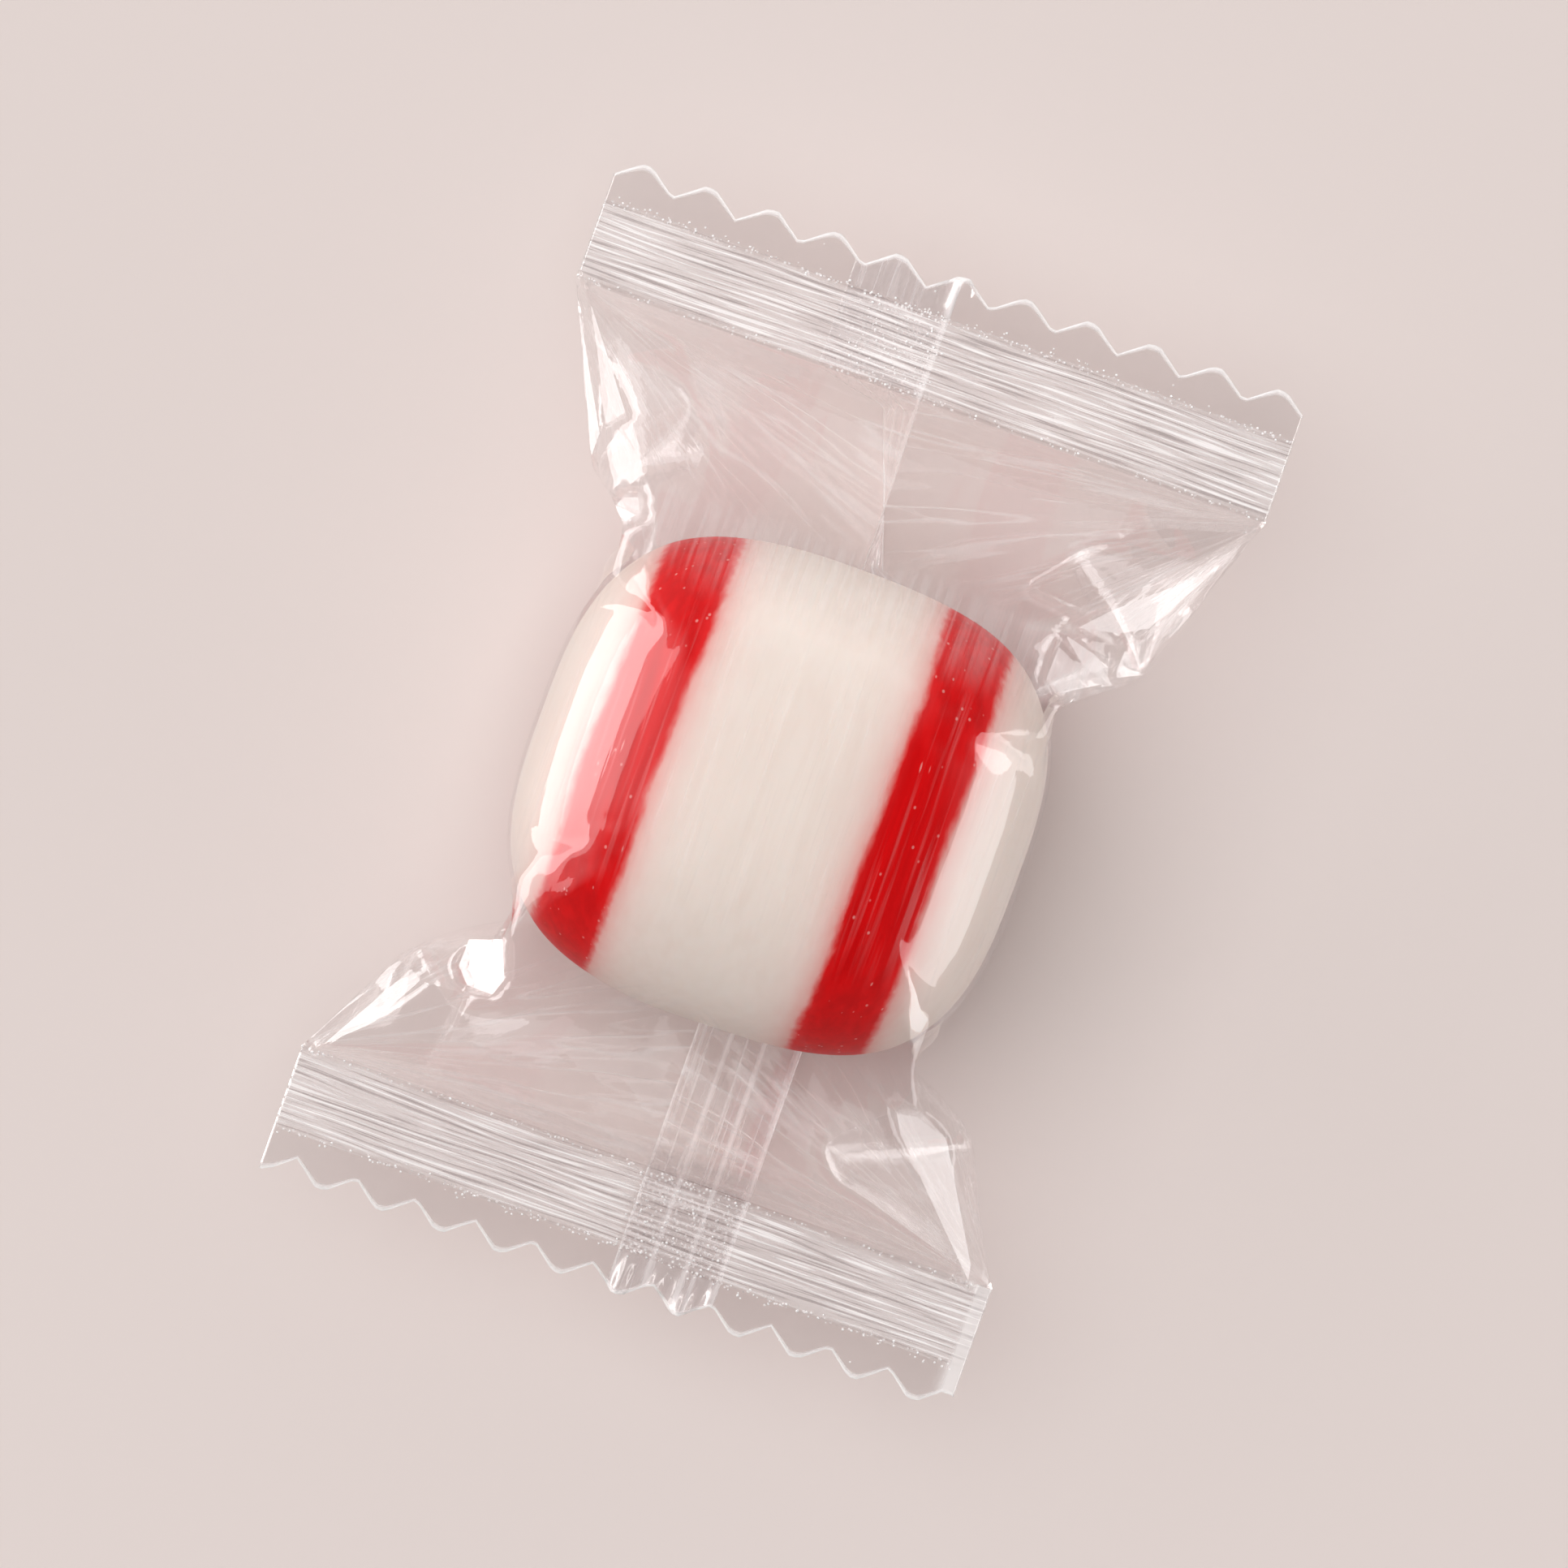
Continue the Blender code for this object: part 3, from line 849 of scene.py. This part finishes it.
# The rings in a pressed band: between the margin at an end and the tube.
ring_number = np.arange(len(film_parts))
from_end = np.minimum(ring_number, ring_number[::-1])
film_band = (from_end >= margin_rows) & (from_end <= seal_count)
# Each ring starts at the tube's right edge, so that its front and back face each other in pairs.
film_rings, film_pressed, film_bubbly, film_cut = (
    np.stack([np.roll(row[k], -(film_columns // 4), 0) for row in film_parts]) for k in range(4))
sealed_finish = pressed_film()
film_finishes = [clear_film("clear polypropylene film", 0.0, 0.08), sealed_finish]
# The front is the second half of each ring, and its row over the candy.
film_front = np.zeros(film_rings.shape[:2])
film_front[:, film_columns // 2 + 1:] = 1
film_front[:, 0] = 1
film_front[:, film_columns // 2] = 1
film_mesh = closed_mesh(film_rings, film_band, film_finishes, pressed=film_pressed, bubbly=film_bubbly,
                        cut=film_cut, front=film_front)
creased(film_mesh)
add_piece("film", film_mesh)

# --------------------------------------------------------------------------------------
# Fin seal. The two long edges of the film, pressed together between ridged wheels and
# folded flat against the back. It lies to the right below and flips over to the left above.
# --------------------------------------------------------------------------------------
fin_width = 4.3 * MM
fin_columns = 44
fin_gap = 0.07 * MM
fin_thickness = 0.05 * MM
fin_ridge_step = 1.4 * MM
fin_ridge_height = 0.03 * MM
# How far the fin is folded over along the wrap: places in millimetres, and half turns.
fold_places = [-22.0, 7.8, 9.4, 15.6, 16.3, 22.0]
fold_turns = [0.0, 0.0, 0.44, 0.60, 1.0, 1.0]


def fin_angle(y):
    """How far the fin is folded over at y: 0 lies to the right, a half turn to the left."""
    return math.pi * np.interp(y / MM, fold_places, fold_turns)


def fin_ring(back):
    """One ring of points round the fin's two layers, on the film's back row of points."""
    middle = back[len(back) // 2]
    angle = fin_angle(middle[1])
    side = 1 if math.cos(angle) >= 0 else -1
    line = []
    for i in range(fin_columns + 1):
        w = fin_width * i / fin_columns
        under = np.array([np.interp(side * w, back[::-1, 0], back[::-1, k]) for k in range(3)])
        ridge = fin_ridge_height * math.cos(2 * math.pi * w / fin_ridge_step)
        spot = middle + abs(math.cos(angle)) * (under - middle)
        spot[2] -= math.sin(angle) * w + fin_gap + ridge
        spot[2] = max(spot[2], 0.6 * film_floor + ridge)
        line.append(spot)
    line = np.array(line)
    along = np.gradient(line, axis=0)
    across = np.stack([-along[:, 2], 0 * along[:, 1], along[:, 0]], -1)
    across *= fin_thickness / 2 / np.linalg.norm(across, axis=1)[:, None]
    return np.concatenate([line + across, (line - across)[::-1]])


fin_rings = np.array([fin_ring(ring[:film_columns // 2 + 1]) for ring in film_rings])
fin_places = np.linspace(0, fin_width, fin_columns + 1)
fin_places = np.concatenate([fin_places, fin_places[::-1]])
fin_band = [end * (fin_rings[..., 1] - seal_inner[end]) for end in (1, -1)]
fin_pressed = sum((out > 0) & (out < seal_band) for out in fin_band)
fin_upper = fin_band[0] > 0
# Painted highlights where the fin would catch the light: along its ridges below, and along its root
# above.
ridge_place = fin_places / fin_ridge_step
ridge_painted_highlight = np.clip(1 - np.abs(ridge_place - np.round(ridge_place)) * 9, 0, 1)
root_painted_highlight = np.clip(1.4 - fin_places / (0.25 * MM), 0, 1)
fin_painted_highlight = np.where(fin_upper, root_painted_highlight, 0.75 * ridge_painted_highlight)
fin_finishes = [clear_film("rolled polypropylene film", 0.13, 0.36), sealed_finish]
fin_mesh = closed_mesh(fin_rings, film_band, fin_finishes, pressed=0.4 * fin_pressed,
                       bubbly=0.8 * fin_pressed, cut=fin_painted_highlight)
add_piece("fin_seal", fin_mesh)

# --------------------------------------------------------------------------------------
# Bubbles. Air that the jaws left between the layers: rows of tiny bubbles along both edges
# of each pressed band, and scattered ones where the fin crosses it. They look white.
# --------------------------------------------------------------------------------------
bubble_sizes = {"Most per area": 9.0 / MM ** 2, "Smallest": 0.028 * MM, "Largest": 0.062 * MM}


def trapped_air():
    """Air between layers of film: a white, shiny speck, some a little greyer than others."""
    material, tree, out = new_material("air trapped in polypropylene film")
    place = node(tree, "TexCoord", output="Object")
    shade = stretched_noise(tree, place, (0.5, 0.5, 0.5))
    shade = node(tree, "MapRange.SMOOTHSTEP", shade, 0.35, 0.65)
    colour = node(tree, "Mix.RGBA", shade, "#f4efee", "#fdfbfb")
    tree.links.new(node(tree, "BsdfPrincipled", colour, Roughness=0.15, IOR=1.49), out)
    return material


def bubble_tree(material):
    """Geometry Nodes that scatter small balls over the film where its attribute "bubbly" says so."""
    tree, size = new_shape_tree("bubbles in the seals", *bubble_sizes)
    bubbly = node(tree, "GeometryNodeInputNamedAttribute.FLOAT", Name="bubbly")
    density = node(tree, "Math.MULTIPLY", node(tree, "Math.POWER", bubbly, 1.5), size["Most per area"])
    points = node(tree, "GeometryNodeDistributePointsOnFaces", Mesh=size["Geometry"], Density=density,
                  Seed=8)
    ball = node(tree, "GeometryNodeMeshIcoSphere", Radius=1.0, Subdivisions=1)
    grow = node(tree, "FunctionNodeRandomValue.FLOAT", size["Smallest"], size["Largest"], Seed=3)
    balls = node(tree, "GeometryNodeInstanceOnPoints", Points=points, Instance=ball, Scale=grow)
    end_shape_tree(tree, balls, material)
    return tree


bubble_mesh = shaped(bubble_tree(trapped_air()), film_mesh, bubble_sizes)
add_piece("seal_bubbles", bubble_mesh)

# --------------------------------------------------------------------------------------
# Floor, lights and camera. A plain pale table under soft boxes, with white cards and windows
# that show in the film, and the camera straight above.
# --------------------------------------------------------------------------------------
from mathutils import Vector

floor_half_side = 8.0
aim_height = 0.008
box_distance = 1.6
camera_height = 0.42
camera_turn = 19.6
frame_width = 0.062


def add_floor():
    """A wide plain floor, slightly warm grey."""
    material, tree, out = new_material("pale matte card")
    card = node(tree, "BsdfPrincipled", "#d9cdc9", Roughness=0.9, Specular_IOR_Level=0.0)
    tree.links.new(card, out)
    mesh = bpy.data.meshes.new("floor")
    corners = [(x * floor_half_side, y * floor_half_side, 0)
               for x, y in ((-1, -1), (1, -1), (1, 1), (-1, 1))]
    mesh.from_pydata(corners, [], [(0, 1, 2, 3)])
    mesh.materials.append(material)
    put_in_scene("floor", mesh)


def add_soft_box(name, turn, rise, size, brightness, distance=box_distance, shape="RECTANGLE"):
    """A flat light that faces the candy.

    turn is its direction round the candy from +X and rise its height over the floor, both in degrees.
    size is the angles that it fills across and up, and brightness how bright its face is.
    """
    turn, rise = math.radians(turn), math.radians(rise)
    wide, tall = (2 * distance * math.tan(math.radians(angle / 2)) for angle in size)
    light = bpy.data.lights.new(name, "AREA")
    light.shape = shape
    light.size, light.size_y = wide, tall
    face = wide * tall * (math.pi / 4 if shape == "ELLIPSE" else 1)
    light.energy = brightness * math.pi * face
    lamp = put_in_scene(name, light)
    level = math.cos(rise)
    away = Vector((level * math.cos(turn), level * math.sin(turn), math.sin(rise)))
    lamp.location = Vector((0, 0, aim_height)) + distance * away
    lamp.rotation_euler = away.to_track_quat("Z", "Y").to_euler()
    return lamp


def add_studio():
    """Pale walls all round, darker overhead and towards the front, and a soft glow high on the left."""
    world = bpy.data.worlds.new("studio")
    world.use_nodes = True
    tree = world.node_tree
    wall = tree.nodes["Background"]
    x, y, z = node(tree, "SeparateXYZ", node(tree, "TexCoord", output="Generated")).node.outputs
    limit = node(tree, "MapRange.SMOOTHSTEP", y, -0.6, 0.7, 0.10, 0.62)
    low = node(tree, "MapRange.SMOOTHSTEP", node(tree, "Math.SUBTRACT", z, limit), 0.30, -0.35)
    rear = node(tree, "MapRange.SMOOTHSTEP", y, 0.2, 0.9, 0.60, 0.90)
    low = node(tree, "Math.MULTIPLY_ADD", low, rear, 0.03)
    glow = node(tree, "MapRange.SMOOTHSTEP", x, -0.35, -0.80, 0.0, 0.8)
    middle = node(tree, "MapRange.SMOOTHSTEP", y, -0.42, -0.08)
    glow = node(tree, "Math.MULTIPLY", glow, middle)
    tree.links.new(node(tree, "Math.MAXIMUM", low, glow), wall.inputs["Strength"])
    wall.inputs["Color"].default_value = (1.0, 0.985, 0.98, 1.0)
    bpy.context.scene.world = world


add_floor()
add_studio()
# The main lights have crossed polarisers: they light the sugar and mirror in nothing.
for name, turn, rise, size, brightness in (("top_box", 172, 76, (60, 60), 2.75),
                                           ("left_fill", -178, 20, (60, 24), 1.1),
                                           ("right_fill", 4, 12, (50, 14), 2.6)):
    add_soft_box(name, turn, rise, size, brightness).visible_glossy = False
# White cards that stand close by show in the film, and don't light the sugar.
for name, turn, rise, size, brightness, distance in (("left_card", 174, 8, (84, 44), 3.2, 0.046),
                                                     ("right_card", -6, 9, (76, 36), 2.1, 0.06),
                                                     ("right_rear_card", 28, 9, (24, 30), 2.4, 0.062)):
    card = add_soft_box(name, turn, rise, size, brightness, distance, "ELLIPSE")
    card.visible_diffuse = False
    card.visible_camera = False
for name, turn, rise, size, brightness in (("left_window", 164, 23, (98, 36), 1.6),
                                           ("front_window", -90, 8, (100, 20), 0.7)):
    add_soft_box(name, turn, rise, size, brightness, shape="ELLIPSE").visible_diffuse = False

bpy.context.scene.view_settings.view_transform = "Standard"
# Light on its way through the wrap crosses the film and the fin many times.
bpy.context.scene.cycles.transparent_max_bounces = 24

camera_data = bpy.data.cameras.new("camera")
camera_data.sensor_width = 36.0
camera_data.lens = camera_data.sensor_width * (camera_height - aim_height) / frame_width
camera = put_in_scene("camera", camera_data)
camera.location = (0.0, 0.0, camera_height)
camera.rotation_euler = (0.0, 0.0, math.radians(camera_turn))
bpy.context.scene.camera = camera
